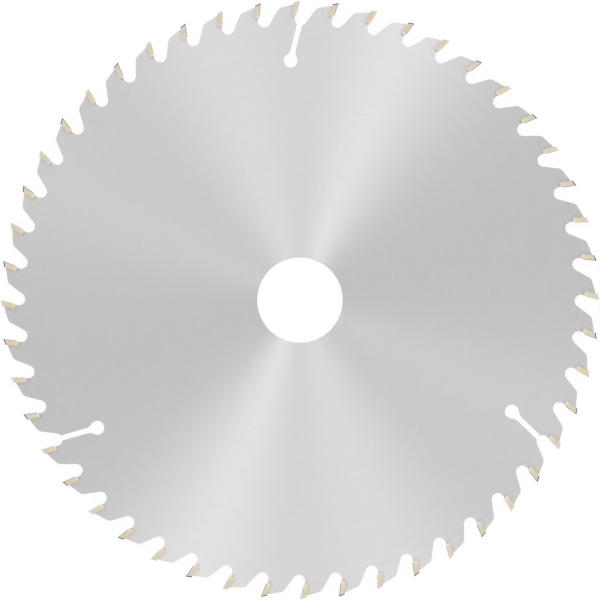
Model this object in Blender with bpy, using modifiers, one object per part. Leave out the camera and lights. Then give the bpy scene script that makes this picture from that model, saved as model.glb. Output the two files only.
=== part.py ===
"""Carbide-tipped circular saw blade, 210 mm across with a 30 mm bore and 48 teeth.

The blade lies flat. Its axis is +Z and its origin is the centre of the bore, halfway through the plate.
Seen from +Z the teeth point clockwise, and tooth 1 has its cutting point straight up, on +Y.

The steel plate is cut from sheet in one piece. Each tooth has a small L-shaped seat, and a carbide tip
lies in each seat with room for the braze. The tips are ground on both sides, and on their tops and faces
to the left and the right in turn, so that only one sharp corner of each reaches the full width of the cut.
The foot of each face is ground back to the gullet wall, so that chips pass without catching.

Each shape is first drawn flat, in the frame of a tooth whose cutting point is on +Y.
"""

from math import acos, asin, atan2, ceil, cos, pi, radians, sin, sqrt, tan

import bmesh
import bpy
from mathutils import Matrix, Vector

MM = 0.001

# Sizes that a blade is sold by
CUTTING_DIAMETER = 210.0 * MM
BORE_DIAMETER = 30.0 * MM
TOOTH_COUNT = 48
KERF_WIDTH = 2.8 * MM
PLATE_THICKNESS = 1.8 * MM

# Angles that the tips are ground to
HOOK_ANGLE = radians(14.0)
CLEARANCE_ANGLE = radians(16.0)
TOP_BEVEL_ANGLE = radians(6.5)
FACE_BEVEL_ANGLE = radians(3.5)
RADIAL_SIDE_ANGLE = radians(1.0)
BACK_SIDE_ANGLE = radians(2.5)

# Carbide tip
TIP_LENGTH = 5.65 * MM
TIP_THICKNESS = 1.9 * MM
TIP_CORNER_RADIUS = 0.5 * MM
TIP_TOE_LENGTH = 1.05 * MM
GRINDING_ALLOWANCE = 0.3 * MM
BRAZE_GAP = 0.3 * MM

# Tooth of the plate
TIP_TOP_STEP = 0.55 * MM
TIP_FRONT_STEP = 0.35 * MM
TOOTH_BACK_LENGTH = 7.9 * MM
SHOULDER_RADIUS = 2.4 * MM
GULLET_WALL_LENGTH = 0.15 * MM
GULLET_RADIUS = 2.25 * MM

# Expansion slots, each from the middle of a gullet to a round hole
SLOT_COUNT = 3
SLOT_WIDTH = 1.95 * MM
SLOT_LENGTH = 15.08 * MM
SLOT_LEAN = radians(14.0)
SLOT_HOLE_DIAMETER = 4.95 * MM
SLOT_NECK_RADIUS = 3.0 * MM

# Bore
BORE_CHAMFER = 0.2 * MM
CUTTER_OVERSHOOT = 1.0 * MM

# Fineness of the meshes
ARC_STEP = radians(10.0)
BORE_SEGMENTS = 96
SHARP_EDGE_ANGLE = radians(30.0)
WELD_DISTANCE = 0.001 * MM

# What follows from the sizes above
CUTTING_RADIUS = CUTTING_DIAMETER / 2
PITCH_ANGLE = 2 * pi / TOOTH_COUNT


def unit(angle):
    """The unit vector at this angle from +X, counter-clockwise."""
    return Vector((cos(angle), sin(angle)))


# Directions in a tooth's own frame
CUTTING_POINT = Vector((0.0, CUTTING_RADIUS))
DOWN_THE_FACE = unit(-pi / 2 - HOOK_ANGLE)
BEHIND_THE_FACE = unit(pi - HOOK_ANGLE)
ALONG_THE_BACK = unit(pi + CLEARANCE_ANGLE)
OUT_OF_THE_BACK = unit(pi / 2 + CLEARANCE_ANGLE)


# Flat geometry


def at_angle(vector):
    """The vector's angle from +X, counter-clockwise."""
    return atan2(vector.y, vector.x)


def meet(point_a, along_a, point_b, along_b):
    """Where the line through point_a along along_a crosses the line through point_b along along_b."""
    return point_a + along_a * ((point_b - point_a).cross(along_b) / along_a.cross(along_b))


def arc(centre, radius, start, turn):
    """Points on an arc that starts at an angle and turns from there, with both ends."""
    steps = max(2, ceil(abs(turn) / ARC_STEP))
    return [centre + radius * unit(start + turn * step / steps) for step in range(steps + 1)]


def rounded(before, corner, after, radius):
    """The arc that rounds the corner on the way from before to after."""
    to_before = (before - corner).normalized()
    to_after = (after - corner).normalized()
    half_angle = to_before.angle(to_after) / 2
    centre = corner + (to_before + to_after).normalized() * (radius / sin(half_angle))
    reach = radius / tan(half_angle)
    start = at_angle(corner + to_before * reach - centre)
    turn = at_angle(corner + to_after * reach - centre) - start
    return arc(centre, radius, start, (turn + pi) % (2 * pi) - pi)


def turned(points, angle):
    """The points turned about the origin, counter-clockwise."""
    turn = Matrix.Rotation(angle, 2)
    return [turn @ point for point in points]


# Outline of the carbide tip and of its seat


def blank_outline():
    """The tip as it is brazed in, with something left on its face and its top to be ground off."""
    rough_face = CUTTING_POINT - BEHIND_THE_FACE * GRINDING_ALLOWANCE
    rough_top = CUTTING_POINT + OUT_OF_THE_BACK * GRINDING_ALLOWANCE
    back = CUTTING_POINT + BEHIND_THE_FACE * TIP_THICKNESS
    front_foot = rough_face + DOWN_THE_FACE * TIP_LENGTH
    back_foot = back + DOWN_THE_FACE * TIP_LENGTH
    front_top = meet(rough_top, ALONG_THE_BACK, rough_face, DOWN_THE_FACE)
    back_top = meet(rough_top, ALONG_THE_BACK, back, DOWN_THE_FACE)
    return [front_foot, front_top, back_top, *rounded(back_top, back_foot, front_foot, TIP_CORNER_RADIUS)]


def toe_cut():
    """A point and an outward direction: the cut that brings the foot of the face back to the gullet wall."""
    start = CUTTING_POINT + DOWN_THE_FACE * (TIP_LENGTH - TIP_TOE_LENGTH)
    return start, BEHIND_THE_FACE * -TIP_TOE_LENGTH + DOWN_THE_FACE * TIP_FRONT_STEP


def seat_outline():
    """The seat from its top behind the tip, round its inner corner, to its lip on the gullet wall."""
    inner_corner = (
        CUTTING_POINT
        + DOWN_THE_FACE * (TIP_LENGTH + BRAZE_GAP)
        + BEHIND_THE_FACE * (TIP_THICKNESS + BRAZE_GAP)
    )
    back_line = CUTTING_POINT - OUT_OF_THE_BACK * TIP_TOP_STEP
    wall_line = CUTTING_POINT + BEHIND_THE_FACE * TIP_FRONT_STEP
    top = meet(back_line, ALONG_THE_BACK, inner_corner, DOWN_THE_FACE)
    lip = meet(wall_line, DOWN_THE_FACE, inner_corner, BEHIND_THE_FACE)
    return [top, *rounded(top, inner_corner, lip, TIP_CORNER_RADIUS + BRAZE_GAP), lip]


# Outline of one tooth of the plate


def shoulder():
    """The sharp corner where the tooth's back meets the slope down to the gullet behind it."""
    return CUTTING_POINT + ALONG_THE_BACK * TOOTH_BACK_LENGTH - OUT_OF_THE_BACK * TIP_TOP_STEP


def gullet_centre():
    """The centre of the gullet before the tooth. The wall below the seat runs into the gullet's arc."""
    depth = TIP_LENGTH + BRAZE_GAP + GULLET_WALL_LENGTH
    return CUTTING_POINT + DOWN_THE_FACE * depth + BEHIND_THE_FACE * (TIP_FRONT_STEP - GULLET_RADIUS)


def gullet_end_angle():
    """The angle, seen from the gullet's centre, at which the slope to the next shoulder begins."""
    (next_shoulder,) = turned([shoulder()], -PITCH_ANGLE)
    reach = next_shoulder - gullet_centre()
    return at_angle(reach) - acos(GULLET_RADIUS / reach.length) + 2 * pi


def slot_outline():
    """An expansion slot: down one edge from the gullet, round the hole and up the other edge.

    It is drawn upright about the hole's centre, and then leant over and set under the gullet's centre.
    """
    half_width = SLOT_WIDTH / 2
    hole_radius = SLOT_HOLE_DIAMETER / 2
    mouth = Vector((-half_width, SLOT_LENGTH - sqrt(GULLET_RADIUS**2 - half_width**2)))
    neck_x = half_width + SLOT_NECK_RADIUS
    neck_y = sqrt((hole_radius + SLOT_NECK_RADIUS) ** 2 - neck_x**2)
    neck = arc(Vector((-neck_x, neck_y)), SLOT_NECK_RADIUS, 0.0, -atan2(neck_y, neck_x))
    left_edge = [mouth, *neck]
    right_edge = [Vector((-point.x, point.y)) for point in reversed(left_edge)]
    hole_start = atan2(neck_y, -neck_x)
    hole = arc(Vector((0.0, 0.0)), hole_radius, hole_start, 3 * pi - 2 * hole_start)
    hole_centre = gullet_centre() + unit(-pi / 2 - SLOT_LEAN) * SLOT_LENGTH
    upright = [*left_edge, *hole[1:-1], *right_edge]
    return [hole_centre + point for point in turned(upright, -SLOT_LEAN)]


def gullet_outline(has_slot):
    """The round floor of the gullet, from the wall below the seat to the next tooth's slope."""
    start = pi - HOOK_ANGLE
    end = gullet_end_angle()
    if not has_slot:
        return arc(gullet_centre(), GULLET_RADIUS, start, end - start)
    slot_angle = 1.5 * pi - SLOT_LEAN
    half_mouth = asin(SLOT_WIDTH / 2 / GULLET_RADIUS)
    before = arc(gullet_centre(), GULLET_RADIUS, start, slot_angle - half_mouth - start)
    after = arc(gullet_centre(), GULLET_RADIUS, slot_angle + half_mouth, end - slot_angle - half_mouth)
    return [*before, *slot_outline()[1:-1], *after]


def tooth_outline(has_slot):
    """One tooth of the plate and the gullet in front of it, clockwise round the blade."""
    slope_foot = gullet_centre() + GULLET_RADIUS * unit(gullet_end_angle())
    (own_slope_foot,) = turned([slope_foot], PITCH_ANGLE)
    seat = seat_outline()
    return [
        *rounded(own_slope_foot, shoulder(), seat[0], SHOULDER_RADIUS),
        *seat,
        *gullet_outline(has_slot),
    ]


def plate_outline():
    """All the teeth, with the expansion slots spread evenly over the gullets."""
    slotted = {round(slot * TOOTH_COUNT / SLOT_COUNT) for slot in range(SLOT_COUNT)}
    outline = []
    for tooth in range(TOOTH_COUNT):
        outline += turned(tooth_outline(tooth in slotted), -tooth * PITCH_ANGLE)
    return outline


# Scene and materials


def clear_scene():
    """Removes what the open file holds, so that the script can be run again."""
    for thing in list(bpy.data.objects):
        bpy.data.objects.remove(thing)
    for collection in list(bpy.data.collections):
        bpy.data.collections.remove(collection)


def new_collection(name):
    collection = bpy.data.collections.new(name)
    bpy.context.scene.collection.children.link(collection)
    return collection


def new_material(name, colour, roughness, metallic):
    """A plain surface. The colour is linear red, green and blue."""
    material = bpy.data.materials.new(name)
    material.use_nodes = True
    shader = material.node_tree.nodes["Principled BSDF"]
    shader.inputs["Base Color"].default_value = (*colour, 1.0)
    shader.inputs["Roughness"].default_value = roughness
    shader.inputs["Metallic"].default_value = metallic
    material.diffuse_color = (*colour, 1.0)
    return material


# From outlines to solids


def mesh_from_outline(name, outline, thickness):
    """A closed mesh of a flat outline, with its thickness spread evenly about z = 0."""
    curve = bpy.data.curves.new(name, "CURVE")
    curve.dimensions = "2D"
    curve.fill_mode = "BOTH"
    curve.extrude = thickness / 2
    spline = curve.splines.new("POLY")
    spline.points.add(len(outline) - 1)
    for spline_point, point in zip(spline.points, outline):
        spline_point.co = (point.x, point.y, 0.0, 1.0)
    spline.use_cyclic_u = True
    guide = bpy.data.objects.new(name, curve)
    bpy.context.scene.collection.objects.link(guide)
    graph = bpy.context.evaluated_depsgraph_get()
    mesh = bpy.data.meshes.new_from_object(guide.evaluated_get(graph))
    bpy.data.objects.remove(guide)
    bpy.data.curves.remove(curve)
    mesh.name = name
    shape = bmesh.new()
    shape.from_mesh(mesh)
    bmesh.ops.remove_doubles(shape, verts=shape.verts, dist=WELD_DISTANCE)
    bmesh.ops.recalc_face_normals(shape, faces=shape.faces)
    shape.to_mesh(mesh)
    shape.free()
    return mesh


def grind(shape, point, outward, material_index=0):
    """Takes off what lies outside a plane, and closes the shape with one flat face."""
    everything = [*shape.verts, *shape.edges, *shape.faces]
    cut = bmesh.ops.bisect_plane(
        shape, geom=everything, plane_co=point, plane_no=outward, clear_outer=True
    )["geom_cut"]
    rim = [part for part in cut if isinstance(part, bmesh.types.BMEdge)]
    for face in bmesh.ops.edgeloop_fill(shape, edges=rim)["faces"]:
        face.material_index = material_index


def add_object(name, mesh, collection):
    thing = bpy.data.objects.new(name, mesh)
    collection.objects.link(thing)
    return thing


# Carbide tips


def tip_mesh(name, bevel_side, blank_colour, ground_colour):
    """One tip. bevel_side is +1 if its ground top and face lean towards +Z, and -1 for -Z."""
    mesh = mesh_from_outline(name, blank_outline(), KERF_WIDTH + 2 * GRINDING_ALLOWANCE)
    mesh.materials.append(blank_colour)
    mesh.materials.append(ground_colour)
    shape = bmesh.new()
    shape.from_mesh(mesh)
    side_fall = DOWN_THE_FACE * tan(RADIAL_SIDE_ANGLE) + BEHIND_THE_FACE * tan(BACK_SIDE_ANGLE)
    for side in (1, -1):
        corner = (*CUTTING_POINT, side * KERF_WIDTH / 2)
        grind(shape, corner, (*side_fall, side))
    sharp_corner = (*CUTTING_POINT, -bevel_side * KERF_WIDTH / 2)
    grind(shape, sharp_corner, (*OUT_OF_THE_BACK, bevel_side * tan(TOP_BEVEL_ANGLE)), material_index=1)
    grind(shape, sharp_corner, (*-BEHIND_THE_FACE, bevel_side * tan(FACE_BEVEL_ANGLE)), material_index=1)
    toe, outward = toe_cut()
    grind(shape, (*toe, 0.0), (*outward, 0.0), material_index=1)
    bmesh.ops.recalc_face_normals(shape, faces=shape.faces)
    shape.to_mesh(mesh)
    shape.free()
    return mesh


def add_tips(collection, blank_colour, ground_colour):
    """A tip in every seat. Those of odd teeth are bevelled away from +Z, those of even teeth towards it."""
    meshes = [
        tip_mesh("tip_bevelled_down", -1, blank_colour, ground_colour),
        tip_mesh("tip_bevelled_up", 1, blank_colour, ground_colour),
    ]
    for tooth in range(TOOTH_COUNT):
        tip = add_object(f"carbide_tip_{tooth + 1:02d}", meshes[tooth % 2], collection)
        tip.rotation_euler.z = -tooth * PITCH_ANGLE


# Steel plate


def bore_cutter(collection):
    """A turned cutter for the bore, which also breaks the bore's two edges."""
    radius = BORE_DIAMETER / 2
    half = PLATE_THICKNESS / 2
    wide = radius + BORE_CHAMFER + CUTTER_OVERSHOOT
    profile = [
        (0.0, half + CUTTER_OVERSHOOT),
        (wide, half + CUTTER_OVERSHOOT),
        (radius, half - BORE_CHAMFER),
        (radius, BORE_CHAMFER - half),
        (wide, -half - CUTTER_OVERSHOOT),
        (0.0, -half - CUTTER_OVERSHOOT),
    ]
    mesh = bpy.data.meshes.new("bore_cutter")
    edges = [(step, step + 1) for step in range(len(profile) - 1)]
    mesh.from_pydata([(x, 0.0, z) for x, z in profile], edges, [])
    cutter = add_object("bore_cutter", mesh, collection)
    screw = cutter.modifiers.new("turn", "SCREW")
    screw.steps = screw.render_steps = BORE_SEGMENTS
    screw.use_merge_vertices = True
    screw.merge_threshold = WELD_DISTANCE
    cutter.hide_render = True
    cutter.display_type = "WIRE"
    return cutter


def add_plate(collection, cutters, steel):
    mesh = mesh_from_outline("saw_plate", plate_outline(), PLATE_THICKNESS)
    mesh.materials.append(steel)
    mesh.shade_smooth()
    mesh.set_sharp_from_angle(angle=SHARP_EDGE_ANGLE)
    plate = add_object("saw_plate", mesh, collection)
    cut = plate.modifiers.new("bore", "BOOLEAN")
    cut.operation = "DIFFERENCE"
    cut.object = bore_cutter(cutters)


def main():
    clear_scene()
    blade = new_collection("circular_saw_blade")
    cutters = new_collection("cutters")
    steel = new_material("ground_steel_plate", (0.60, 0.60, 0.60), 0.35, 1.0)
    tinned = new_material("tinned_carbide_side", (0.72, 0.64, 0.51), 0.45, 0.3)
    ground = new_material("ground_carbide", (0.14, 0.14, 0.125), 0.35, 0.8)
    add_plate(blade, cutters, steel)
    add_tips(blade, tinned, ground)


main()
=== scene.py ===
# %% [markdown]
# # A carbide-tipped circular saw blade
# The blade is a disc of hardened steel sheet with a small block of cemented carbide brazed into the front
# of each tooth. Its faces are ground flat on a turning table, so the marks of the stone are circles about
# the bore, and they throw the light back in long rays from the middle to the rim.
#
# Every size comes from the frame, the model that the blade's construction script makes. This lesson
# measures that frame, rebuilds its shapes with fine edges, gives each surface its finish, and then sets
# up the floor, the light and the camera.

# %% Load the frame
from math import cos, degrees, pi, radians, sin

import bmesh
import bpy
from mathutils import Matrix, Vector


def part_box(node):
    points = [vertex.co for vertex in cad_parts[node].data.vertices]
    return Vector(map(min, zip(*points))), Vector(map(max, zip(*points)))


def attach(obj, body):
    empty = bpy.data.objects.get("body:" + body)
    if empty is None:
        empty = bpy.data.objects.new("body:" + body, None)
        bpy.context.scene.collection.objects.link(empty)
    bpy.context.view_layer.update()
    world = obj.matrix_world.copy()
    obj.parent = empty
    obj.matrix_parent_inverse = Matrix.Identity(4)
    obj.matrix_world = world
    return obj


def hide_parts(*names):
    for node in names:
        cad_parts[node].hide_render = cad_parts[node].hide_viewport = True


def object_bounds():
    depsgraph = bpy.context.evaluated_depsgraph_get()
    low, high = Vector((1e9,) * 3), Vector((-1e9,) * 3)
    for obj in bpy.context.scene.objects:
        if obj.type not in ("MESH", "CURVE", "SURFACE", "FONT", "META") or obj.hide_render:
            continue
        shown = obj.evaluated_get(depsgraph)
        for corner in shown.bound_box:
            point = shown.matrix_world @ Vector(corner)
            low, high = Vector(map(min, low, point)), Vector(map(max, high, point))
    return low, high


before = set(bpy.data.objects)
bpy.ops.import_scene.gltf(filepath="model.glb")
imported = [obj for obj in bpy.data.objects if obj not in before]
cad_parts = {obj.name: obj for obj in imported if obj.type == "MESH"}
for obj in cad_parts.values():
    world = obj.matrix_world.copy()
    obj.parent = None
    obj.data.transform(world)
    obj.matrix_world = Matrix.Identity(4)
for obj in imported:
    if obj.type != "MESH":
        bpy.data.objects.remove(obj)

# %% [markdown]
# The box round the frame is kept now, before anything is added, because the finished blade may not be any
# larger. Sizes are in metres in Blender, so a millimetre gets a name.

MM = 0.001
cad_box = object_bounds()
low, high = cad_box
print("The blade is", *[f"{size / MM:.2f}" for size in high - low], "mm")

# %% [markdown]
# ## Two helpers
# A colour is written as an sRGB hex value, as a colour picker shows it. Shaders work in linear light, so
# one function turns the one into the other.
#
# Another function adds a node to any tree, for a material or for a shape. It sets the node's options and
# fills its inputs: a socket is linked, a node is linked by its first output, and anything else is a value.

# %% Colours and nodes
def paint(hex_code):
    """The linear colour of an sRGB hex value."""
    shares = [int(hex_code[place:place + 2], 16) / 255 for place in (0, 2, 4)]
    linear = [share / 12.92 if share <= 0.04045 else ((share + 0.055) / 1.055) ** 2.4 for share in shares]
    return (*linear, 1.0)


def add(tree, kind, inputs=None, **options):
    """Adds a node to a tree with its options, and fills or links the inputs that are named or numbered."""
    node = tree.nodes.new(kind)
    for name, value in options.items():
        setattr(node, name, value)
    for key, value in (inputs or {}).items():
        source = value.outputs[0] if isinstance(value, bpy.types.Node) else value
        if isinstance(source, bpy.types.NodeSocket):
            tree.links.new(source, node.inputs[key])
        else:
            node.inputs[key].default_value = source
    return node


print("Mid grey 808080 is", round(paint("808080")[0], 3), "in linear light")

# %% [markdown]
# ## Reading the plate
# The frame's mesh is loose triangles. A copy of it is welded and its flat faces are made whole again, and
# the edges between the upper face and the walls are then the plate's outline and the bore. They could be
# found by name or by number, but following the edges works for any blade.

# %% Find the outline and the bore
WELD = 0.001 * MM
FLAT = radians(0.5)
LEVEL = 0.9


def whole_faces(node_name):
    """A mesh in editing form of a frame node, welded, with each flat face in one piece."""
    shape = bmesh.new()
    shape.from_mesh(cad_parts[node_name].data)
    bmesh.ops.remove_doubles(shape, verts=shape.verts, dist=WELD)
    bmesh.ops.dissolve_limit(shape, angle_limit=FLAT, verts=shape.verts, edges=shape.edges)
    return shape


def upper_rims(shape):
    """The loops of points round the upper face, shortest first, with the face on their left."""
    next_vert = {}
    for face in shape.faces:
        if face.normal.z > LEVEL:
            for corner in face.loops:
                if corner.link_loop_radial_next.face.normal.z < LEVEL:
                    next_vert[corner.vert] = corner.link_loop_next.vert
    loops = []
    while next_vert:
        vert = next(iter(next_vert))
        loops.append([])
        while vert in next_vert:
            loops[-1].append(vert.co.copy())
            vert = next_vert.pop(vert)
    return sorted(loops, key=len)


plate_shape = whole_faces("saw_plate")
bore_rim, outline = upper_rims(plate_shape)
bore_radius = min(vert.co.xy.length for vert in plate_shape.verts)
bore_chamfer = bore_rim[0].xy.length - bore_radius
half_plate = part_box("saw_plate")[1].z
plate_shape.free()
outline.reverse()
print(len(outline), "points round the teeth; bore", round(2 * bore_radius / MM, 2), "mm across")

# %% [markdown]
# The point of the plate that lies furthest out on each tooth is the top of the seat, just behind the
# carbide. Cutting the outline there gives one stretch for each tooth: its seat, the gullet in front of it
# and the back of the next tooth. They are all alike, but for those with an expansion slot in the gullet,
# so two stretches are enough to draw the whole blade.

# %% Cut the outline into teeth
def clockwise_from_top(point):
    """The angle from +Y, clockwise, between -180 and 180 degrees."""
    return point.xy.angle_signed(Vector((0.0, 1.0)))


reach = max(point.xy.length for point in outline)
seat_tops = [place for place, point in enumerate(outline) if point.xy.length > reach - WELD]
first = min(seat_tops, key=lambda place: abs(clockwise_from_top(outline[place])))
outline = outline[first:] + outline[:first]
cuts = sorted((place - first) % len(outline) for place in seat_tops) + [len(outline)]
TEETH = len(seat_tops)
PITCH = 2 * pi / TEETH
stretches = [(outline + outline[:1])[start:end + 1] for start, end in zip(cuts, cuts[1:])]
slotted = [tooth for tooth, stretch in enumerate(stretches) if len(stretch) > len(stretches[1])]
print(TEETH, "teeth, with slots at", slotted)

# %% [markdown]
# The first tooth stands at the top of the blade, with its cutting point on +Y. Its seat runs straight down
# behind the carbide, so the seat's first edge gives the direction of the carbide's face, and a quarter turn
# from it points back into the tooth. The outline comes to the seat along the tooth's back, and a quarter
# turn from that line points out of the tooth.

# %% Directions on a tooth
cutting_point = Vector((0.0, high.y))
down_the_face = (stretches[0][1] - stretches[0][0]).xy.normalized()
behind_the_face = Vector((down_the_face.y, -down_the_face.x))
along_the_back = (stretches[-1][-1] - stretches[-1][-2]).xy.normalized()
out_of_the_back = Vector((-along_the_back.y, along_the_back.x))
hook = down_the_face.angle(Vector((0.0, -1.0)))
print("The face of the first tooth leans forward by", round(degrees(hook), 1), "degrees")

# %% [markdown]
# Geometry Nodes take their patterns as objects. These are guides: bare lines and blanks that are used and
# then removed. A guide of another tooth is turned back to the top of the blade first, so that every guide
# is in the frame of the tooth whose point is on +Y.

# %% Guides for one tooth
guides = []


def add_guide(name, mesh):
    """Puts a guide in the scene and remembers it, so that it can be removed."""
    guide = bpy.data.objects.new(name, mesh)
    bpy.context.scene.collection.objects.link(guide)
    guides.append(guide)
    return guide


def line_mesh(name, points, closed=False):
    """A mesh of a bare line through the points, in the plane z = 0."""
    mesh = bpy.data.meshes.new(name)
    edges = [(place, place + 1) for place in range(len(points) - 1)]
    if closed:
        edges.append((len(points) - 1, 0))
    mesh.from_pydata([(point[0], point[1], 0.0) for point in points], edges, [])
    return mesh


turn_back = Matrix.Rotation(PITCH, 3, "Z")
plain_line = add_guide("plain_tooth", line_mesh("plain_tooth", [turn_back @ p for p in stretches[1]]))
slotted_line = add_guide("slotted_tooth", line_mesh("slotted_tooth", stretches[0]))
print("A plain tooth has", len(stretches[1]), "points, a slotted one", len(stretches[0]))

# %% [markdown]
# ## Running a tree
# A Geometry Nodes tree is a machine with named inputs. This function puts the tree on an empty object,
# sets the inputs by their identifiers, lets Blender work the shape out, and keeps the result as a plain
# mesh. A Bevel modifier after the tree can break the edges that the tree has marked.

# %% Trees into meshes
EDGE_BREAK = 0.05 * MM
SHARP = radians(30.0)


def new_tree(name, **sockets):
    """A tree for shapes with these inputs, its input node and its output node."""
    tree = bpy.data.node_groups.new(name, "GeometryNodeTree")
    for label, kind in sockets.items():
        tree.interface.new_socket(label, in_out="INPUT", socket_type="NodeSocket" + kind)
    tree.interface.new_socket("Geometry", in_out="OUTPUT", socket_type="NodeSocketGeometry")
    return tree, add(tree, "NodeGroupInput").outputs


def run_tree(tree, name, values, bevel_width=0.0):
    """Makes a piece from a tree: a plain mesh, with its place in its points."""
    piece = bpy.data.objects.new(name, bpy.data.meshes.new(name))
    bpy.context.scene.collection.objects.link(piece)
    machine = piece.modifiers.new("shape", "NODES")
    machine.node_group = tree
    for item in tree.interface.items_tree:
        if item.name in values:
            machine[item.identifier] = values[item.name]
    if bevel_width:
        bevel = piece.modifiers.new("broken_edges", "BEVEL")
        bevel.limit_method = "WEIGHT"
        bevel.width = bevel_width
        bevel.segments = 1
    graph = bpy.context.evaluated_depsgraph_get()
    mesh = bpy.data.meshes.new_from_object(piece.evaluated_get(graph))
    piece.modifiers.clear()
    piece.data = mesh
    mesh.name = name
    mesh.shade_smooth()
    mesh.set_sharp_from_angle(angle=SHARP)
    print(name, "has", len(mesh.polygons), "faces")
    return piece


print("Edges steeper than 30 degrees are broken by", EDGE_BREAK / MM, "mm")

# %% [markdown]
# ## Finishes
# Each finish starts from the real material and how its surface was made. A new material is cleared of its
# nodes, and the shader is added with the values that are the same all over the surface.

# %% Start a material
def new_finish(name, **values):
    """A material with one Principled shader. Underscores in the values' names stand for spaces."""
    finish = bpy.data.materials.new(name)
    finish.use_nodes = True
    finish.node_tree.nodes.clear()
    inputs = {label.replace("_", " "): value for label, value in values.items()}
    shader = add(finish.node_tree, "ShaderNodeBsdfPrincipled", inputs)
    add(finish.node_tree, "ShaderNodeOutputMaterial", {"Surface": shader})
    return finish, finish.node_tree, shader


def connect(tree, shader, links):
    """Links sources to the shader's inputs."""
    for label, source in links.items():
        tree.links.new(source, shader.inputs[label])


print("Finishes made so far:", len(bpy.data.materials))

# %% [markdown]
# ### Circle-ground steel
# The plate is hardened carbon steel. Its face was ground by a stone while the disc turned, which leaves
# grooves that run round the bore. Across the grooves the surface is rough, and along them it is smooth, so
# a lamp is drawn out into a ray that points from the bore towards the lamp, and another opposite to it.
# An anisotropic shader does this. Its Tangent is the direction of the greater roughness, which here is
# straight out from the axis.
#
# One helper gives the distance from the axis and the direction out from it, and the shader's values are
# kept by name, because the solder will show the same marks.
#
# The grooves are 0.02 mm apart on such a blade. They are drawn 0.35 mm apart, so that they just show. The
# noise that draws them is stretched round the circle, because each grain of the stone leaves an arc.

# %% Finish of the plate's faces
IN_PLANE = (1.0, 1.0, 0.0)
GROUND = {"Metallic": 1.0, "Roughness": 0.49, "Anisotropic": 0.893}
GROOVE_SPACING = 0.35 * MM
ARC_DETAIL = 9.0


def about_the_axis(tree, place):
    """How far a place is from the axis, and the direction from the axis to it."""
    flat = add(tree, "ShaderNodeVectorMath", {0: place, 1: IN_PLANE}, operation="MULTIPLY")
    radius = add(tree, "ShaderNodeVectorMath", {0: flat}, operation="LENGTH").outputs["Value"]
    return radius, add(tree, "ShaderNodeVectorMath", {0: flat}, operation="NORMALIZE")


def circle_ground_steel():
    finish, tree, shader = new_finish("circle_ground_steel", **GROUND)
    place = add(tree, "ShaderNodeTexCoord").outputs["Object"]
    radius, outward = about_the_axis(tree, place)
    groove = add(tree, "ShaderNodeMath", {0: radius, 1: GROOVE_SPACING}, operation="DIVIDE")
    round_the_bore = add(
        tree, "ShaderNodeVectorMath", {0: outward, "Scale": ARC_DETAIL}, operation="SCALE"
    )
    height = add(tree, "ShaderNodeCombineXYZ", {"Z": groove})
    spot = add(tree, "ShaderNodeVectorMath", {0: round_the_bore, 1: height}, operation="ADD")
    grooves = add(tree, "ShaderNodeTexNoise", {"Vector": spot, "Scale": 1.0, "Detail": 3.0})
    colour = add(
        tree, "ShaderNodeMix", {"Factor": grooves, "A": paint("C9C9C9"), "B": paint("D0D0D0")},
        data_type="RGBA",
    )
    bump = add(tree, "ShaderNodeBump", {"Height": grooves, "Strength": 0.1, "Distance": 0.01 * MM})
    connect(tree, shader, {
        "Base Color": colour.outputs["Result"],
        "Normal": bump.outputs[0],
        "Tangent": outward.outputs[0],
    })
    return finish


steel_face = circle_ground_steel()
print("Grooves are drawn", GROOVE_SPACING / MM, "mm apart")

# %% [markdown]
# ### Cut and bored walls
# The teeth, gullets and slots are cut by a laser, which leaves fine upright furrows and a grey skin. A
# noise that hardly changes with height gives such furrows on a wall of any direction. The bore is ground to
# size afterwards, and its marks run round it, so there the noise changes with height and hardly otherwise.

# %% Finish of the walls
FURROW_SPACING = 0.18 * MM
BORE_MARK_SPACING = 0.12 * MM
CHANGES_DOWN_A_FURROW = 60.0
CHANGES_ALONG_A_MARK = 40.0


def scored_steel(name, stretch, darker, lighter, roughness):
    """Steel with furrows. stretch is how often the noise changes in a metre along X, Y and Z."""
    finish, tree, shader = new_finish(name, Metallic=1.0, Roughness=roughness)
    place = add(tree, "ShaderNodeTexCoord").outputs["Object"]
    spot = add(tree, "ShaderNodeVectorMath", {0: place, 1: stretch}, operation="MULTIPLY")
    furrows = add(tree, "ShaderNodeTexNoise", {"Vector": spot, "Scale": 1.0, "Detail": 2.0})
    colour = add(
        tree, "ShaderNodeMix", {"Factor": furrows, "A": paint(darker), "B": paint(lighter)},
        data_type="RGBA",
    )
    bump = add(tree, "ShaderNodeBump", {"Height": furrows, "Strength": 0.4, "Distance": 0.02 * MM})
    connect(tree, shader, {"Base Color": colour.outputs["Result"], "Normal": bump.outputs[0]})
    return finish


upright = (1 / FURROW_SPACING, 1 / FURROW_SPACING, CHANGES_DOWN_A_FURROW)
ringwise = (CHANGES_ALONG_A_MARK, CHANGES_ALONG_A_MARK, 1 / BORE_MARK_SPACING)
steel_cut = scored_steel("laser_cut_steel", upright, "8F8E8B", "B9B8B5", roughness=0.45)
steel_bore = scored_steel("ground_bore", ringwise, "B4B4B3", "CFCFCE", roughness=0.3)
print("Furrows are", FURROW_SPACING / MM, "mm apart on the cut walls")

# %% [markdown]
# ### Cemented carbide
# The tips are tungsten carbide grains in cobalt, pressed and sintered, and brazed in with silver solder.
# Solder ran over their sides, and then the teeth were sandblasted to clean them. That makes the sides matt
# and gives them a warm, pale look: tan halfway up, and paler near the foot, where the solder is thickest.
# The colours are listed by their place, in millimetres below the cutting point.

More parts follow.
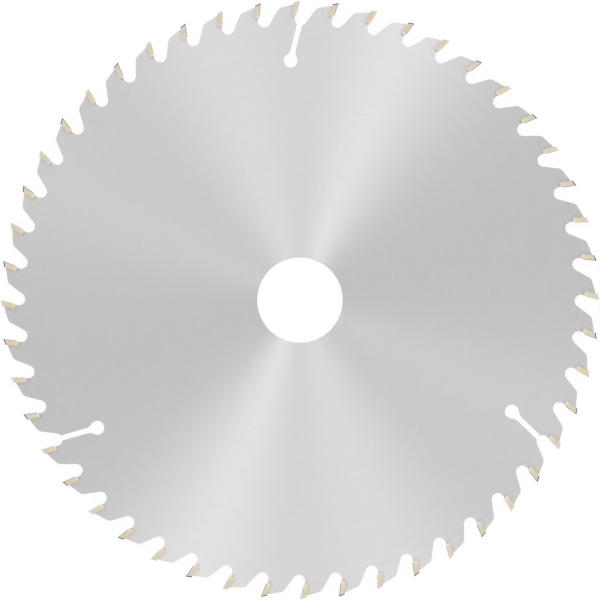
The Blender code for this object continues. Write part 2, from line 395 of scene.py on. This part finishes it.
# %% Size and colours of a tip
TIP_COLOURS = {
    0.9: "DEDACF",
    1.9: "DCD6C8",
    3.0: "E0D8C6",
    4.0: "E1D9C8",
    4.8: "E2DDD1",
    5.3: "E8E5E1",
}
# The seam colour is partly the solder's own and partly painted shade along the tip's back and foot.
SEAM_AND_SHADE_COLOUR = "D2CBBF"
tip_points = [vert.co.xy - cutting_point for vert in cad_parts["carbide_tip_01"].data.vertices]
tip_length = max(point.dot(down_the_face) for point in tip_points)
tip_thickness = max(point.dot(behind_the_face) for point in tip_points)
print("A tip is", round(tip_length / MM, 2), "mm long and", round(tip_thickness / MM, 2), "mm thick")

# %% [markdown]
# Each tip will carry its own coordinates, in millimetres: X is how far a point lies behind the face and Y
# how far it lies below the cutting point. A ramp down the tip gives its colour, and close to the seam at its
# back and its foot the colour turns darker. That darker colour is partly the solder's own and partly painted
# shade along the seam. Each tip will also carry a tone, a share that makes its stain a little paler or
# stronger than the next one's.

# %% Finish of the tips' sides
TIP_PLACE = "place_on_tip"
TIP_TONE = "tone_of_tip"
SEAM_SHADE_FADE_MM = 0.35
FOOT_EDGE_MM = 0.1
STAIN_SIZE = 0.6 * MM


def fade(tree, value, start, end):
    """A soft step from 0 to 1 as the value goes from start to end."""
    return add(
        tree, "ShaderNodeMapRange", {"Value": value, "From Min": start, "From Max": end},
        interpolation_type="SMOOTHSTEP",
    )


def tinned_carbide():
    finish, tree, shader = new_finish("tinned_carbide", Metallic=1.0, Roughness=0.78)
    on_tip = add(tree, "ShaderNodeAttribute", attribute_name=TIP_PLACE).outputs["Vector"]
    behind, below, _ = add(tree, "ShaderNodeSeparateXYZ", {0: on_tip}).outputs
    length, thickness = tip_length / MM, tip_thickness / MM
    share = add(tree, "ShaderNodeMath", {0: below, 1: length}, operation="DIVIDE")
    ramp = add(tree, "ShaderNodeValToRGB", {"Fac": share})
    bands = ramp.color_ramp.elements
    bands.remove(bands[1])
    for place, colour in TIP_COLOURS.items():
        bands.new(place / length).color = paint(colour)
    bands.remove(bands[0])
    place = add(tree, "ShaderNodeTexCoord").outputs["Object"]
    stains = add(tree, "ShaderNodeTexNoise", {"Vector": place, "Scale": 1 / STAIN_SIZE, "Detail": 3.0})
    stain = add(
        tree, "ShaderNodeMix", {"Factor": stains, "A": paint("F3F0EA"), "B": paint("FFFFFF")},
        data_type="RGBA",
    )
    stained = add(
        tree, "ShaderNodeMix", {"Factor": 1.0, "A": ramp, "B": stain.outputs["Result"]},
        data_type="RGBA", blend_type="MULTIPLY",
    )
    tone = add(tree, "ShaderNodeAttribute", attribute_name=TIP_TONE).outputs["Fac"]
    toned = add(tree, "ShaderNodeHueSaturation", {"Saturation": tone, "Color": stained.outputs["Result"]})
    # Near the back and the foot the sides fade to the seam colour: partly solder, partly painted shade along
    # the seam.
    near_back = fade(tree, behind, thickness - SEAM_SHADE_FADE_MM, thickness)
    near_foot = fade(tree, below, length - SEAM_SHADE_FADE_MM, length - FOOT_EDGE_MM)
    near_seam_shade = add(tree, "ShaderNodeMath", {0: near_back, 1: near_foot}, operation="MAXIMUM")
    colour = add(
        tree, "ShaderNodeMix", {"Factor": near_seam_shade, "A": toned, "B": paint(SEAM_AND_SHADE_COLOUR)},
        data_type="RGBA",
    )
    bump = add(tree, "ShaderNodeBump", {"Height": stains, "Strength": 0.25, "Distance": 0.02 * MM})
    connect(tree, shader, {"Base Color": colour.outputs["Result"], "Normal": bump.outputs[0]})
    return finish


carbide_side = tinned_carbide()
print("Stains on the tips are about", STAIN_SIZE / MM, "mm across")

# %% [markdown]
# The top and the face of each tip are ground last, with a diamond wheel, down to bare carbide. That is a
# dark grey metal. The top is left matt by a coarse wheel, and the face, which the chips slide over, is lapped
# smoother.
#
# Seen from above, these faces are almost edge on, where a plain metal would turn bright. The tint of their
# edge reflection is turned down, most of all for the top, which paints shade into that reflection.

# %% Finish of the tips' ground faces
WHEEL_MARK_SPACING = 0.08 * MM
CHANGES_ALONG_A_SCRATCH = 200.0


def bare_carbide(name, roughness, shaded_edge_tint):
    finish, tree, shader = new_finish(
        name, Metallic=1.0, Roughness=roughness, Specular_Tint=paint(shaded_edge_tint)
    )
    place = add(tree, "ShaderNodeTexCoord").outputs["Object"]
    stretch = (CHANGES_ALONG_A_SCRATCH, CHANGES_ALONG_A_SCRATCH, 1 / WHEEL_MARK_SPACING)
    spot = add(tree, "ShaderNodeVectorMath", {0: place, 1: stretch}, operation="MULTIPLY")
    marks = add(tree, "ShaderNodeTexNoise", {"Vector": spot, "Scale": 1.0, "Detail": 2.0})
    colour = add(
        tree, "ShaderNodeMix", {"Factor": marks, "A": paint("67655D"), "B": paint("7D7B73")},
        data_type="RGBA",
    )
    bump = add(tree, "ShaderNodeBump", {"Height": marks, "Strength": 0.2, "Distance": 0.01 * MM})
    connect(tree, shader, {"Base Color": colour.outputs["Result"], "Normal": bump.outputs[0]})
    return finish


# The low edge tints paint shade into the edge reflection, most strongly on the top.
carbide_ground = bare_carbide("diamond_ground_carbide", roughness=0.5, shaded_edge_tint="101010")
carbide_lapped = bare_carbide("diamond_lapped_carbide", roughness=0.35, shaded_edge_tint="BCBCBC")
print("Wheel marks are", WHEEL_MARK_SPACING / MM, "mm apart")

# %% [markdown]
# Silver solder is a warm grey alloy. Where it ran out over the plate it is so thin that the round marks of
# the grinding show in its skin, and it takes part in the same rays. It is a little darker than the steel,
# partly by the solder's own colour and partly as painted shade along the seam beside the tip. It is also a
# little uneven, because it froze as it ran.

# %% Finish of the solder
RIPPLE_SIZE = 0.4 * MM


def silver_solder():
    finish, tree, shader = new_finish("silver_solder", **GROUND)
    place = add(tree, "ShaderNodeTexCoord").outputs["Object"]
    outward = about_the_axis(tree, place)[1]
    ripples = add(tree, "ShaderNodeTexNoise", {"Vector": place, "Scale": 1 / RIPPLE_SIZE, "Detail": 2.0})
    # Darker than the steel partly as solder and partly as painted shade along the seam.
    colour = add(
        tree, "ShaderNodeMix", {"Factor": ripples, "A": paint("C2C0BC"), "B": paint("CECCC8")},
        data_type="RGBA",
    )
    bump = add(tree, "ShaderNodeBump", {"Height": ripples, "Strength": 0.2, "Distance": 0.03 * MM})
    connect(tree, shader, {
        "Base Color": colour.outputs["Result"],
        "Normal": bump.outputs[0],
        "Tangent": outward.outputs[0],
    })
    return finish


solder = silver_solder()
print("Ripples in the solder are about", RIPPLE_SIZE / MM, "mm across")

# %% [markdown]
# ## The plate
# The plate follows a rule: the same stretch of outline, turned by one pitch for each tooth. Its tree needs
# three helpers, and the tips will use them again: a point with a turn for each tooth, a choice of every so
# many teeth by their numbers, and a pattern put on the chosen points.

# %% Patterns on the teeth
UNDER_ONE = 0.5


def place_per_tooth(tree, teeth):
    """A point on the axis for each tooth, the tooth's number, and the turn that takes a tooth there."""
    points = add(tree, "GeometryNodePoints", {"Count": teeth})
    number = add(tree, "GeometryNodeInputIndex")
    pitch = add(tree, "ShaderNodeMath", {0: -2 * pi, 1: teeth}, operation="DIVIDE")
    angle = add(tree, "ShaderNodeMath", {0: number, 1: pitch}, operation="MULTIPLY")
    turn = add(tree, "ShaderNodeCombineXYZ", {"Z": angle})
    return points, number, turn


def every(tree, number, spacing):
    """Whether the number is a multiple of the spacing, and whether it isn't."""
    left_over = add(tree, "ShaderNodeMath", {0: number, 1: spacing}, operation="MODULO")
    is_multiple = add(tree, "ShaderNodeMath", {0: left_over, 1: UNDER_ONE}, operation="LESS_THAN")
    return is_multiple, add(tree, "FunctionNodeBooleanMath", {0: is_multiple}, operation="NOT")


def put_pattern(tree, points, chosen, pattern, turn):
    """Puts an object's shape on the chosen points."""
    shape = add(tree, "GeometryNodeObjectInfo", {"Object": pattern}).outputs["Geometry"]
    return add(tree, "GeometryNodeInstanceOnPoints", {
        "Points": points, "Selection": chosen, "Instance": shape, "Rotation": turn,
    })


print("There is a tooth every", round(degrees(PITCH), 2), "degrees")

# %% [markdown]
# Each tooth gets its stretch of outline, slotted or plain by its number. The stretches are welded into one
# closed line, which is filled together with the circle of the bore. That gives a flat sheet.

# %% Sheet with the teeth and the bore
BORE_SIDES = 192


def toothed_sheet(tree, given):
    """The plate's flat shape, at half its thickness."""
    points, number, turn = place_per_tooth(tree, given["Teeth"])
    has_slot, has_none = every(tree, number, given["Teeth_per_slot"])
    slotted_teeth = put_pattern(tree, points, has_slot, given["Slotted_tooth"], turn)
    plain_teeth = put_pattern(tree, points, has_none, given["Plain_tooth"], turn)
    teeth = add(tree, "GeometryNodeJoinGeometry", {"Geometry": slotted_teeth})
    tree.links.new(plain_teeth.outputs[0], teeth.inputs[0])
    lines = add(tree, "GeometryNodeRealizeInstances", {"Geometry": teeth})
    ring = add(tree, "GeometryNodeMergeByDistance", {"Geometry": lines, "Distance": WELD})
    rim = add(tree, "GeometryNodeMeshToCurve", {"Mesh": ring})
    circle = add(
        tree, "GeometryNodeCurvePrimitiveCircle",
        {"Resolution": BORE_SIDES, "Radius": given["Bore_radius"]},
    )
    curves = add(tree, "GeometryNodeJoinGeometry", {"Geometry": rim})
    tree.links.new(circle.outputs[0], curves.inputs[0])
    return add(tree, "GeometryNodeFillCurve", {"Curve": curves}, mode="NGONS")


print("The bore's circle has", BORE_SIDES, "sides")

# %% [markdown]
# The sheet is extruded, which leaves the underside open, so a flipped copy of the flat shape closes it. The
# faces and the walls get their finishes as they are made. The bore's wall is told from the walls of the
# teeth by its distance from the axis.

# %% Thickness and finishes
BORE_MARGIN = 1.0 * MM


def is_at_bore(tree, given):
    """Whether a place on the plate is at the bore."""
    position = add(tree, "GeometryNodeInputPosition")
    flat = add(tree, "ShaderNodeVectorMath", {0: position, 1: IN_PLANE}, operation="MULTIPLY")
    radius = add(tree, "ShaderNodeVectorMath", {0: flat}, operation="LENGTH").outputs["Value"]
    near_bore = add(tree, "ShaderNodeMath", {0: given["Bore_radius"], 1: BORE_MARGIN}, operation="ADD")
    return add(tree, "ShaderNodeMath", {0: radius, 1: near_bore}, operation="LESS_THAN")


def thick_plate(tree, given, sheet, at_bore):
    """The sheet with its thickness, closed, with its finishes."""
    half_down = add(tree, "ShaderNodeMath", {0: given["Thickness"], 1: -0.5}, operation="MULTIPLY")
    down = add(tree, "ShaderNodeCombineXYZ", {"Z": half_down})
    bottom = add(tree, "GeometryNodeSetPosition", {"Geometry": sheet, "Offset": down})
    solid = add(tree, "GeometryNodeExtrudeMesh", {
        "Mesh": bottom, "Offset Scale": given["Thickness"], "Individual": False,
    })
    underside = add(tree, "GeometryNodeFlipFaces", {"Mesh": bottom})
    faces = add(tree, "GeometryNodeSetMaterial", {"Geometry": solid, "Material": given["Face"]})
    walls = add(tree, "GeometryNodeSetMaterial", {
        "Geometry": faces, "Selection": solid.outputs["Side"], "Material": given["Wall"],
    })
    is_bore_wall = add(
        tree, "FunctionNodeBooleanMath", {0: solid.outputs["Side"], 1: at_bore}, operation="AND"
    )
    bored = add(tree, "GeometryNodeSetMaterial", {
        "Geometry": walls, "Selection": is_bore_wall, "Material": given["Bore"],
    })
    lower_face = add(tree, "GeometryNodeSetMaterial", {"Geometry": underside, "Material": given["Face"]})
    both = add(tree, "GeometryNodeJoinGeometry", {"Geometry": bored})
    tree.links.new(lower_face.outputs[0], both.inputs[0])
    return add(tree, "GeometryNodeMergeByDistance", {"Geometry": both, "Distance": WELD})


print("The plate is", round(2 * half_plate / MM, 2), "mm thick")

# %% [markdown]
# Laser-cut edges are sharp, but no edge is perfectly so: the light catches a thin line along them. The tree
# writes a bevel weight on every steep edge: a full one round the bore, which has a turned chamfer, and a
# small one elsewhere. With that the tree is complete, and it makes the plate.

# %% Tree for the plate
def marked_edges(tree, given, plate, at_bore):
    """The plate with a bevel weight on each steep edge."""
    edge_angle = add(tree, "GeometryNodeInputMeshEdgeAngle").outputs["Unsigned Angle"]
    is_steep = add(tree, "ShaderNodeMath", {0: edge_angle, 1: SHARP}, operation="GREATER_THAN")
    small = add(
        tree, "ShaderNodeMath", {0: given["Edge_break"], 1: given["Bore_chamfer"]}, operation="DIVIDE"
    )
    share = add(tree, "ShaderNodeMix", {"Factor": at_bore, "A": small, "B": 1.0})
    weight = add(tree, "ShaderNodeMath", {0: is_steep, 1: share}, operation="MULTIPLY")
    return add(
        tree, "GeometryNodeStoreNamedAttribute",
        {"Geometry": plate, "Name": "bevel_weight_edge", "Value": weight},
        data_type="FLOAT", domain="EDGE",
    )


def plate_tree():
    tree, given = new_tree(
        "toothed_plate", Teeth="Int", Teeth_per_slot="Int", Plain_tooth="Object", Slotted_tooth="Object",
        Bore_radius="Float", Thickness="Float", Bore_chamfer="Float", Edge_break="Float",
        Face="Material", Wall="Material", Bore="Material",
    )
    at_bore = is_at_bore(tree, given)
    plate = thick_plate(tree, given, toothed_sheet(tree, given), at_bore)
    add(tree, "NodeGroupOutput", {"Geometry": marked_edges(tree, given, plate, at_bore)})
    return tree


plate = run_tree(plate_tree(), "toothed_plate", {
    "Teeth": TEETH,
    "Teeth_per_slot": slotted[1] - slotted[0],
    "Plain_tooth": plain_line,
    "Slotted_tooth": slotted_line,
    "Bore_radius": bore_radius,
    "Thickness": 2 * half_plate,
    "Bore_chamfer": bore_chamfer,
    "Edge_break": EDGE_BREAK,
    "Face": steel_face,
    "Wall": steel_cut,
    "Bore": steel_bore,
}, bevel_width=bore_chamfer)
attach(plate, "root")
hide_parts("saw_plate")

# %% [markdown]
# ## The tips
# Two blanks make all the tips: one ground down towards the upper face of the blade, and one towards the
# lower. They are copies of the frame's first two tips, the second turned back by one pitch. Their edges are
# broken by next to nothing, because these are the edges that cut.
#
# Each blank carries its coordinates for the finish of its sides, and marks on the faces that are bare: the
# ground one looks outwards and the lapped one forwards.

# %% Blanks for the tips
HONED_EDGE = 0.02 * MM
FACING = 0.5
GROUND_TOP = "ground_top"
LAPPED_FACE = "lapped_face"


def tip_blank(node_name, turn):
    """A guide with the shape of one tip, turned to the top of the blade, with honed edges."""
    shape = whole_faces(node_name)
    steep = [edge for edge in shape.edges if edge.calc_face_angle(0.0) > SHARP]
    bmesh.ops.bevel(shape, geom=steep, offset=HONED_EDGE, segments=1, affect="EDGES")
    bmesh.ops.transform(shape, matrix=turn, verts=shape.verts)
    place_on_tip = shape.verts.layers.float_vector.new(TIP_PLACE)
    for vert in shape.verts:
        reach = (vert.co.xy - cutting_point) / MM
        vert[place_on_tip] = (reach.dot(behind_the_face), reach.dot(down_the_face), vert.co.z / MM)
    ground_top = shape.faces.layers.bool.new(GROUND_TOP)
    lapped_face = shape.faces.layers.bool.new(LAPPED_FACE)
    shape.normal_update()
    for face in shape.faces:
        face[ground_top] = face.normal.y > FACING
        face[lapped_face] = face.normal.x > FACING
    mesh = bpy.data.meshes.new(node_name + "_blank")
    shape.to_mesh(mesh)
    shape.free()
    return add_guide(node_name + "_blank", mesh)


even_blank = tip_blank("carbide_tip_01", Matrix.Identity(3))
odd_blank = tip_blank("carbide_tip_02", turn_back)
print("A blank has", len(even_blank.data.polygons), "faces")

# %% [markdown]
# The tree puts the two blanks on the teeth in turn, and gives the marked faces their finishes. It also gives
# each tip a tone of its own for its stained sides, by chance within two limits, from a fixed seed.

# %% Tree for the tips
KINDS_OF_TIP = 2


def tips_tree():
    tree, given = new_tree(
        "carbide_tips", Teeth="Int", Even_tip="Object", Odd_tip="Object", Sides="Material",
        Top="Material", Face="Material", Palest="Float", Strongest="Float", Seed="Int",
    )
    points, number, turn = place_per_tooth(tree, given["Teeth"])
    is_even, is_odd = every(tree, number, KINDS_OF_TIP)
    even_tips = put_pattern(tree, points, is_even, given["Even_tip"], turn)
    odd_tips = put_pattern(tree, points, is_odd, given["Odd_tip"], turn)
    tips = add(tree, "GeometryNodeJoinGeometry", {"Geometry": even_tips})
    tree.links.new(odd_tips.outputs[0], tips.inputs[0])
    tone = add(tree, "FunctionNodeRandomValue", {
        2: given["Palest"], 3: given["Strongest"], "Seed": given["Seed"],
    }, data_type="FLOAT")
    toned = add(
        tree, "GeometryNodeStoreNamedAttribute",
        {"Geometry": tips, "Name": TIP_TONE, "Value": tone.outputs[1]},
        data_type="FLOAT", domain="INSTANCE",
    )
    solid = add(tree, "GeometryNodeRealizeInstances", {"Geometry": toned})
    tinned = add(tree, "GeometryNodeSetMaterial", {"Geometry": solid, "Material": given["Sides"]})
    is_top = add(tree, "GeometryNodeInputNamedAttribute", {"Name": GROUND_TOP}, data_type="BOOLEAN")
    ground = add(tree, "GeometryNodeSetMaterial", {
        "Geometry": tinned, "Selection": is_top, "Material": given["Top"],
    })
    is_face = add(tree, "GeometryNodeInputNamedAttribute", {"Name": LAPPED_FACE}, data_type="BOOLEAN")
    finished = add(tree, "GeometryNodeSetMaterial", {
        "Geometry": ground, "Selection": is_face, "Material": given["Face"],
    })
    add(tree, "NodeGroupOutput", {"Geometry": finished})
    return tree


tips = run_tree(tips_tree(), "carbide_tips", {
    "Teeth": TEETH,
    "Even_tip": even_blank,
    "Odd_tip": odd_blank,
    "Sides": carbide_side,
    "Top": carbide_ground,
    "Face": carbide_lapped,
    "Palest": 0.85,
    "Strongest": 1.15,
    "Seed": 5,
})
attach(tips, "root")
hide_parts(*[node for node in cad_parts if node.startswith("carbide_tip_")])

# %% [markdown]
# ## The solder
# A film of solder fills the gap between each tip and its seat, and laps over the plate. The film follows
# the seat: it could be modelled by hand, but a profile swept along a line is quicker and stays true if the
# seat changes.
#
# The seat's line is the start of a tooth's stretch, down to the lip, where the outline first turns sharply
# to the right. The film stops a hair short of both ends. Its own ends would otherwise lie in one plane with
# the walls of the plate, and two surfaces in one plane show as black specks.

# %% Line of the seat
HAIR = 0.02 * MM
SHARP_TURN = radians(60.0)


def seat_line(stretch):
    """The points of the stretch from the top of the seat to its lip."""
    for place in range(1, len(stretch) - 1):
        before = (stretch[place] - stretch[place - 1]).xy
        after = (stretch[place + 1] - stretch[place]).xy
        if before.cross(after) < 0 and before.angle(after) > SHARP_TURN:
            return stretch[:place + 1]
    return stretch


def drawn_in(line, amount):
    """The line with both its ends drawn in."""
    start = line[0] + (line[1] - line[0]).normalized() * amount
    end = line[-1] + (line[-2] - line[-1]).normalized() * amount
    return [start, *line[1:-1], end]


seat = drawn_in(seat_line(stretches[0]), HAIR)
gap = (seat[0].xy - cutting_point).dot(behind_the_face) - tip_thickness
print(len(seat), "points along the seat, with a gap of", round(gap / MM, 2), "mm for the solder")

# %% [markdown]
# The profile is drawn across the gap, with the seat's wall at zero. Its top laps a little way over the
# plate, as a thin, level skin. The same shape hangs below. Between them it reaches a little into the seat's
# wall, so that it also fills the wall's broken edges. A swept profile's x axis points to the right of the
# line's travel, and the gap lies to the left, so x is negative there.

# %% Profile of the film
LAP = 0.45 * MM
SKIN = 0.02 * MM


def solder_profile():
    """The film's section: x across the gap from the seat to the tip, y along the blade's axis."""
    top = half_plate + SKIN
    upper = [(EDGE_BREAK, half_plate - LAP), (LAP, half_plate), (LAP - SKIN, top), (-gap, top)]
    lower = [(x, -y) for x, y in reversed(upper)]
    return upper + lower


seat_guide = add_guide("seat_line", line_mesh("seat_line", seat))
profile_guide = add_guide("solder_profile", line_mesh("solder_profile", solder_profile(), closed=True))
print("The profile has", len(profile_guide.data.vertices), "points")

# %% [markdown]
# The sweep starts square to the seat, so one corner of the film would stick out of the tooth's back. The
# points that do are slid down along the seat until they are level with the back.

# %% Level with the tooth's back
def level_with_back(tree, given, shape):
    """Slides what stands above the tooth's back down to it, along the seat."""
    position = add(tree, "GeometryNodeInputPosition")
    from_top = add(
        tree, "ShaderNodeVectorMath", {0: position, 1: given["Seat_top"]}, operation="SUBTRACT"
    )
    height = add(
        tree, "ShaderNodeVectorMath", {0: from_top, 1: given["Out_of_back"]}, operation="DOT_PRODUCT"
    ).outputs["Value"]
    above = add(tree, "ShaderNodeMath", {0: height, 1: 0.0}, operation="MAXIMUM")
    fall = add(
        tree, "ShaderNodeVectorMath", {0: given["Down_seat"], 1: given["Out_of_back"]},
        operation="DOT_PRODUCT",
    ).outputs["Value"]
    amount = add(tree, "ShaderNodeMath", {0: above, 1: fall}, operation="DIVIDE")
    slide = add(
        tree, "ShaderNodeVectorMath", {0: given["Down_seat"], "Scale": amount}, operation="SCALE"
    )
    back_again = add(tree, "ShaderNodeVectorMath", {0: slide, "Scale": -1.0}, operation="SCALE")
    return add(tree, "GeometryNodeSetPosition", {"Geometry": shape, "Offset": back_again})


slant = along_the_back.angle(down_the_face)
print("The seat leaves the tooth's back at", round(degrees(slant), 1), "degrees")

# %% [markdown]
# The tree turns the seat's line and the profile into curves, sweeps one along the other with closed ends,
# and puts a copy of the film on each tooth.

# %% Tree for the solder
def solder_tree():
    tree, given = new_tree(
        "solder_films", Teeth="Int", Seat="Object", Profile="Object", Seat_top="Vector",
        Down_seat="Vector", Out_of_back="Vector", Finish="Material",
    )
    seat_shape = add(tree, "GeometryNodeObjectInfo", {"Object": given["Seat"]}).outputs["Geometry"]
    path = add(tree, "GeometryNodeMeshToCurve", {"Mesh": seat_shape})
    upright_path = add(tree, "GeometryNodeSetCurveNormal", {"Curve": path}, mode="Z_UP")
    section_shape = add(tree, "GeometryNodeObjectInfo", {"Object": given["Profile"]}).outputs["Geometry"]
    section = add(tree, "GeometryNodeMeshToCurve", {"Mesh": section_shape})
    film = add(tree, "GeometryNodeCurveToMesh", {
        "Curve": upright_path, "Profile Curve": section, "Fill Caps": True,
    })
    level_film = level_with_back(tree, given, film)
    points, number, turn = place_per_tooth(tree, given["Teeth"])
    films = add(tree, "GeometryNodeInstanceOnPoints", {
        "Points": points, "Instance": level_film, "Rotation": turn,
    })
    solid = add(tree, "GeometryNodeRealizeInstances", {"Geometry": films})
    finished = add(tree, "GeometryNodeSetMaterial", {"Geometry": solid, "Material": given["Finish"]})
    add(tree, "NodeGroupOutput", {"Geometry": finished})
    return tree


films = run_tree(solder_tree(), "solder_films", {
    "Teeth": TEETH,
    "Seat": seat_guide,
    "Profile": profile_guide,
    "Seat_top": seat[0],
    "Down_seat": (*down_the_face, 0.0),
    "Out_of_back": (*out_of_the_back, 0.0),
    "Finish": solder,
})
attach(films, "root")

# %% [markdown]
# The guides have done their work.

# %% Remove the guides
for guide in guides:
    bpy.data.objects.remove(guide)
print("Guides removed:", len(guides))

# %% [markdown]
# ## Floor
# The blade lies on the points of its tips. The floor under it is matt white. The camera sees most of that
# white as light of its own, so that it stays white in the narrow slots, and the rest as a lit surface, so
# that a faint shadow is left. Mirrors and glass see the same.

# %% White floor
FLOOR_SIZE = 3.0
OWN_LIGHT = 0.95


def white_floor():
    finish, tree, shader = new_finish("matt_white_floor", Roughness=0.9, Base_Color=paint("F4F4F4"))
    rays = add(tree, "ShaderNodeLightPath")
    seen = add(tree, "ShaderNodeMath", {
        0: rays.outputs["Is Camera Ray"], 1: rays.outputs["Is Glossy Ray"],
    }, operation="MAXIMUM")
    any_seen = add(
        tree, "ShaderNodeMath", {0: seen, 1: rays.outputs["Is Transmission Ray"]}, operation="MAXIMUM"
    )
    share = add(tree, "ShaderNodeMath", {0: any_seen, 1: OWN_LIGHT}, operation="MULTIPLY")
    glow = add(tree, "ShaderNodeEmission", {"Color": paint("FFFFFF"), "Strength": 1.0})
    both = add(tree, "ShaderNodeMixShader", {0: share, 1: shader, 2: glow})
    tree.links.new(both.outputs[0], tree.get_output_node("ALL").inputs["Surface"])
    return finish


bpy.ops.mesh.primitive_plane_add(size=FLOOR_SIZE, location=(0.0, 0.0, low.z))
floor = bpy.context.object
floor.name = "floor"
floor.data.materials.append(white_floor())
print("The floor is at", round(low.z / MM, 2), "mm")

# %% [markdown]
# ## Light
# The room is evenly bright, so that a colour looks about as it is written. Three lamps stand far off and
# high up, all on one half of the circle. Each draws a pair of rays on the ground steel, so their directions
# are read straight off the rays: the strongest at 68 degrees, one at 108 and a faint one at 155.

# %% Room and lamps
ROOM_BRIGHTNESS = 0.996
LAMP_WIDTH = radians(2.0)
LAMPS = {
    "key_lamp": (68.5, 32.6, 0.374),
    "fill_lamp": (108.2, 28.0, 0.265),
    "rim_lamp": (155.3, 30.4, 0.126),
}

room = bpy.data.worlds.new("evenly_bright_room")
room.use_nodes = True
room.node_tree.nodes["Background"].inputs["Color"].default_value = paint("FFFFFF")
room.node_tree.nodes["Background"].inputs["Strength"].default_value = ROOM_BRIGHTNESS
bpy.context.scene.world = room

for name, (azimuth, from_vertical, power) in LAMPS.items():
    lamp = bpy.data.lights.new(name, "SUN")
    lamp.energy = power
    lamp.angle = LAMP_WIDTH
    stand = bpy.data.objects.new(name, lamp)
    bpy.context.scene.collection.objects.link(stand)
    around, tilt = radians(azimuth), radians(from_vertical)
    towards = Vector((cos(around) * sin(tilt), sin(around) * sin(tilt), cos(tilt)))
    stand.rotation_euler = towards.to_track_quat("Z", "Y").to_euler()
    print(name, "stands at", azimuth, "degrees")

# %% [markdown]
# ## Camera
# The picture looks straight down at the blade from far away, with no perspective: the walls of the gullets
# don't show anywhere. An orthographic camera does the same. The picture is 600 pixels wide, and the blade
# just fills it.

# %% Camera
PICTURE_WIDTH_PX = 600.0
PX_PER_MM = 2.8505
CAMERA_PLACE = (0.028 * MM, 0.0, 0.6)

camera = bpy.data.cameras.new("camera")
camera.type = "ORTHO"
camera.ortho_scale = PICTURE_WIDTH_PX / PX_PER_MM * MM
eye = bpy.data.objects.new("camera", camera)
eye.location = CAMERA_PLACE
bpy.context.scene.collection.objects.link(eye)
bpy.context.scene.camera = eye
bpy.context.scene.view_settings.view_transform = "Standard"
print("The camera sees", round(camera.ortho_scale / MM, 1), "mm")
